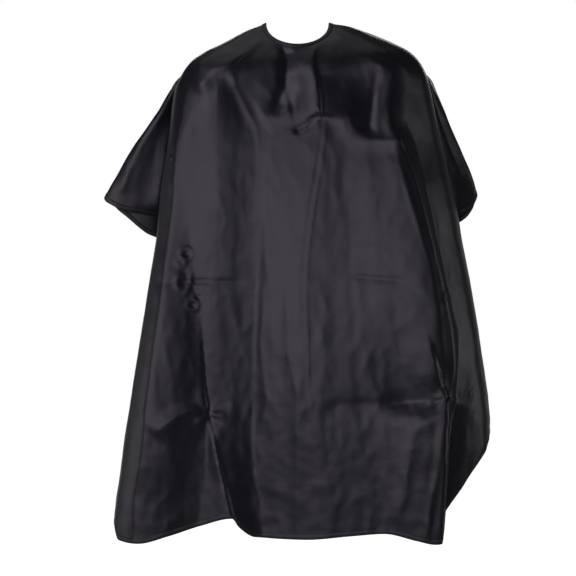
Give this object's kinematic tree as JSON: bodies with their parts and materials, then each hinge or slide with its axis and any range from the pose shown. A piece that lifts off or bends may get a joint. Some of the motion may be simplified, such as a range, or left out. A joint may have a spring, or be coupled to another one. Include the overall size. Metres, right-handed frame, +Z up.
{
  "type": "barber cape",
  "caption": "Black woven salon cape with a bound neck opening, a long front drape, short back wings and a press-snap closure behind the neck.",
  "frame": {"origin": "middle of the neck opening, level with its two highest points at the sides of the neck", "axes": "+Z up as worn, -Y towards the wearer's front, +X towards the wearer's left side"},
  "size_m": [0.7376, 0.356, 0.988],
  "materials": {
    "cape_cloth": "lustrous polyester taffeta",
    "trim_cloth": "folded and stitched taffeta",
    "stiffener": "bonded interlining",
    "label_tape": "satin ribbon",
    "snap_plastic": "moulded acetal"
  },
  "bodies": {
    "cape": {"yoke_right": "cape_cloth", "yoke_left": "cape_cloth", "drape_right": "cape_cloth", "drape_front": "cape_cloth", "drape_left": "cape_cloth", "wrap_right": "cape_cloth", "wrap_left": "cape_cloth", "wing_right": "cape_cloth", "wing_left": "cape_cloth", "neck_binding": "trim_cloth", "facing_lining": "trim_cloth", "facing_stiffener": "stiffener", "facing_cloth": "trim_cloth", "care_label": "label_tape", "snap_post_1": "snap_plastic", "snap_post_2": "snap_plastic", "snap_post_3": "snap_plastic", "snap_post_4": "snap_plastic", "snap_stud_1": "snap_plastic", "snap_stud_2": "snap_plastic", "snap_stud_3": "snap_plastic", "snap_stud_4": "snap_plastic"},
    "closure_tab": {"tab_lining": "trim_cloth", "tab_stiffener": "stiffener", "tab_cloth": "trim_cloth", "snap_socket_1": "snap_plastic", "snap_socket_2": "snap_plastic", "snap_cap_1": "snap_plastic", "snap_cap_2": "snap_plastic"}
  },
  "joints": [
    {"name": "closure_tab_hinge", "type": "hinge", "parent": "cape", "child": "closure_tab", "pos_m": [0.055, 0.07365, -0.05822], "axis": [0, 0.4586, -0.8886], "range_deg": [0, 110]}
  ]
}
